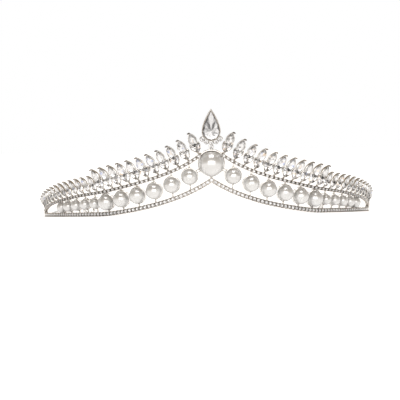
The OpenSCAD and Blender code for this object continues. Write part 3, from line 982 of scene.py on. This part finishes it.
crest_finishes = [glass, foil]
drop_stone = placed(cut_stone(drop(DROP_ROOM, 5), **DROP_CUT), on_crest @ moved(0, FRONT, DROP_MID))
teardrop = make_piece("teardrop_crystal", drop_stone, crest_finishes, "teardrop_stone",
                      smooth_to=0)
fire = add_fire(teardrop, 61, PALE)
# Painted light and shade on each foil facet of the teardrop
to_crest = on_crest.inverted()
for face in teardrop.data.polygons:
    spot = to_crest @ (face.center / MM)
    if face.material_index == FOIL:
        tone = drop_tone(spot.x, spot.z - DROP_MID)
        tint(fire, face, (tone, tone, 1.01 * tone))
round_stone = cut_stone(flat_outline(ROUND_CORNERS, CRADLE_R), **ROUND_CUT)
round_stones = [placed(round_stone, on_crest @ place @ moved(0, -0.2, 0)) for place in cradle_places]
cradle = make_piece("cradle_crystals", soldered(round_stones), crest_finishes, "cradle_stones",
                    smooth_to=0)
add_fire(cradle, 62, PALE)

# Wire arms: bright spring wire, soldered inside each end of the band and bent at its free end into an
# upright loop that takes a hairpin.
WIRE_R = 0.625
WIRE_SIDES = 14
WIRE_Z = LOW_H_END / 2
LOOP_R = 3.3
LOOP_Z = LOOP_R + WIRE_R

# Along the band the wire is soldered on; then it bends inward and runs on in a wide curve to its loop
SOLDER_FROM = 94.0
SOLDER_TO = 112.8
SOLDER_AT = (95.0, 103.5, 111.5)
BEND_R = 30.0
BEND_TURN = math.radians(10)
ARM_R = 115.0
ARM_TURN = math.radians(25)
LOOP_HEADING = math.radians(57)
CORNER_R = 1.0
SEAT_STEPS = 12
BEND_STEPS = 6
ARM_STEPS = 30
LOOP_STEPS = 48

# The solid band runs in this many straight stretches a side, and the wire keeps clear of the sag of one
STRETCHES = 22
SAG = (BAND_HALF / STRETCHES) ** 2 / (8 * BAND_R)
SEAT_R = BAND_R - LOW_W / 2 - SAG - WIRE_R - SEAT_GAP


def seat_point(s):
    return Vector((0, PLAN_Y, WIRE_Z)) + SEAT_R * outward(s)


def arc_point(start, heading, r, turn):
    return start + r * Vector((math.cos(heading + turn) - math.cos(heading),
                               math.sin(heading + turn) - math.sin(heading), 0))


bend_heading = SOLDER_TO / BAND_R - math.pi / 2
bend_start = seat_point(SOLDER_TO)
arm_start = arc_point(bend_start, bend_heading, BEND_R, BEND_TURN)
arm_heading = bend_heading + BEND_TURN
arm_path = [seat_point(mix(SOLDER_FROM, SOLDER_TO, i / SEAT_STEPS)) for i in range(SEAT_STEPS + 1)]
arm_path += [arc_point(bend_start, bend_heading, BEND_R, BEND_TURN * i / BEND_STEPS)
             for i in range(1, BEND_STEPS + 1)]
arm_path += [arc_point(arm_start, arm_heading, ARM_R, ARM_TURN * i / ARM_STEPS)
             + (LOOP_Z - WIRE_Z) * i / ARM_STEPS * UP for i in range(1, ARM_STEPS + 1)]
loop_dir = Vector((-math.sin(LOOP_HEADING), math.cos(LOOP_HEADING), 0))
junction = arm_path[-1] + CORNER_R * loop_dir
loop_middle = junction + LOOP_R * loop_dir
arm_path.append(junction - CORNER_R * (1 - math.sin(math.pi / 4)) * (loop_dir + UP))
arm_path += [loop_middle - LOOP_R * (math.cos(t) * loop_dir + math.sin(t) * UP)
             for t in [math.radians(mix(18, 332, i / LOOP_STEPS)) for i in range(LOOP_STEPS + 1)]]


def drawn_wire(name):
    material, tree, shader = new_finish(name)
    shader.inputs["Metallic"].default_value = 1.0
    streaks = mottle(tree, 700.0, 5.0)
    colour = tones(tree, streaks, (0.0, (0.62, 0.61, 0.60)), (1.0, (0.90, 0.89, 0.88)))
    tree.links.new(colour, shader.inputs["Base Color"])
    tree.links.new(span(tree, streaks, 0.08, 0.2), shader.inputs["Roughness"])
    relief(tree, streaks, 0.1, 0.00003, shader)
    return material


spring_wire = drawn_wire("drawn_wire")
arm_parts = [wire(arm_path, WIRE_R, WIRE_SIDES)]
for s in SOLDER_AT:
    blob = bead((0, 0, 0), 0.9, (1.2, 0.5, 0.6))
    arm_parts.append(placed(blob, standing(seat_point(s) + 0.55 * outward(s), along(s), -outward(s), UP)))
for side, hand in ((-1, "left"), (1, "right")):
    arm = placed(soldered(arm_parts), Matrix.Diagonal((side, 1, 1, 1)))
    make_piece(f"spring_arm_{hand}", arm, [spring_wire], f"wire_arm_{hand}")

# Table and light: a white table top in a white surround, a wide soft light overhead and one in front.
# Metal and stones see a dim, warm room with pale paper behind them, where the camera sees only white.
bpy.context.scene.view_settings.view_transform = "Standard"


def table_top():
    """A square of 24 metres, which glows less close to the tiara so that its shadow shows"""
    mesh = bpy.data.meshes.new("table")
    half = 12.0
    corners = [(-half, -half, 0), (half, -half, 0), (half, half, 0), (-half, half, 0)]
    mesh.from_pydata(corners, [], [(0, 1, 2, 3)])
    item = bpy.data.objects.new("table", mesh)
    bpy.context.scene.collection.objects.link(item)
    material, tree, shader = new_finish("white_table")
    shader.inputs["Base Color"].default_value = (0.9, 0.9, 0.9, 1)
    shader.inputs["Roughness"].default_value = 0.8
    shader.inputs["Specular IOR Level"].default_value = 0.0
    shader.inputs["Emission Color"].default_value = (1, 1, 1, 1)
    where = tree.nodes.new("ShaderNodeTexCoord")
    away = tree.nodes.new("ShaderNodeVectorMath")
    away.operation = "LENGTH"
    tree.links.new(where.outputs["Object"], away.inputs[0])
    glow = span(tree, away.outputs["Value"], 0.50, 1.0, 0.10, 0.9)
    tree.links.new(glow, shader.inputs["Emission Strength"])
    mesh.materials.append(material)


def room_light():
    world = bpy.data.worlds.new("room")
    bpy.context.scene.world = world
    world.use_nodes = True
    tree = world.node_tree
    tree.nodes.clear()
    where = tree.nodes.new("ShaderNodeTexCoord")
    split = tree.nodes.new("ShaderNodeSeparateXYZ")
    tree.links.new(where.outputs["Generated"], split.inputs["Vector"])
    walls = tones(tree, split.outputs["Z"], (0.0, (0.82, 0.80, 0.77)), (0.14, (0.66, 0.61, 0.55)),
                  (0.30, (0.41, 0.35, 0.28)), (0.6, (0.22, 0.173, 0.12)), (1.0, (0.25, 0.205, 0.15)))
    paper = tree.nodes.new("ShaderNodeMath")
    paper.operation = "MULTIPLY"
    tree.links.new(span(tree, split.outputs["Y"], 0.0, 1.0, 0.15, 0.55), paper.inputs[0])
    tree.links.new(span(tree, split.outputs["Z"], 0.0, 1.0, 0.75, 0.45), paper.inputs[1])
    with_paper = tree.nodes.new("ShaderNodeMixRGB")
    tree.links.new(paper.outputs["Value"], with_paper.inputs["Fac"])
    tree.links.new(walls, with_paper.inputs["Color1"])
    with_paper.inputs["Color2"].default_value = (0.80, 0.78, 0.76, 1)
    room = tree.nodes.new("ShaderNodeBackground")
    tree.links.new(with_paper.outputs["Color"], room.inputs["Color"])
    white = tree.nodes.new("ShaderNodeBackground")
    white.inputs["Color"].default_value = (1, 1, 1, 1)
    path = tree.nodes.new("ShaderNodeLightPath")
    choose = tree.nodes.new("ShaderNodeMixShader")
    tree.links.new(path.outputs["Is Camera Ray"], choose.inputs["Fac"])
    tree.links.new(room.outputs["Background"], choose.inputs[1])
    tree.links.new(white.outputs["Background"], choose.inputs[2])
    end = tree.nodes.new("ShaderNodeOutputWorld")
    tree.links.new(choose.outputs["Shader"], end.inputs["Surface"])


# Lights and camera are placed in metres
LIT_SPOT = Vector((0, 0, 0.02))


def soft_light(name, place, size, power):
    light = bpy.data.lights.new(name, "AREA")
    light.shape = "RECTANGLE"
    light.size, light.size_y = size
    light.energy = power
    item = bpy.data.objects.new(name, light)
    item.location = place
    item.rotation_euler = (LIT_SPOT - Vector(place)).to_track_quat("-Z", "Y").to_euler()
    item.visible_camera = False
    bpy.context.scene.collection.objects.link(item)


table_top()
room_light()
soft_light("overhead", (0.0, -0.38, 1.1), (0.62, 0.44), 4.8)
soft_light("front", (0.0, -1.5, 0.40), (1.9, 0.80), 10.5)

# Camera: a long lens low over the table, a little to the wearer's right of the middle. It aims below the
# centre pearl and a little to the left of it.
CAMERA_AWAY = 5.0
CAMERA_TURN = math.radians(-2)
CAMERA_RISE = math.radians(0.4)
CAMERA_ROLL = math.radians(-1)
FIELD = 0.1852
AIM_LEFT = 0.00556
AIM_BELOW = 0.01667
right = Vector((math.cos(CAMERA_TURN), math.sin(CAMERA_TURN), 0))
aim = MM * band_point(0, CENTRE_UP) - AIM_LEFT * right - AIM_BELOW * UP
forward = Vector((-math.sin(CAMERA_TURN) * math.cos(CAMERA_RISE),
                  math.cos(CAMERA_TURN) * math.cos(CAMERA_RISE), -math.sin(CAMERA_RISE)))
lens = bpy.data.cameras.new("camera")
lens.sensor_width = 36.0
lens.lens = lens.sensor_width * CAMERA_AWAY / FIELD
lens.clip_end = 60.0
camera = bpy.data.objects.new("camera", lens)
camera.location = aim - CAMERA_AWAY * forward
camera.rotation_euler = (forward.to_track_quat("-Z", "Y").to_matrix()
                         @ Matrix.Rotation(CAMERA_ROLL, 3, "Z")).to_euler()
bpy.context.scene.collection.objects.link(camera)
bpy.context.scene.camera = camera
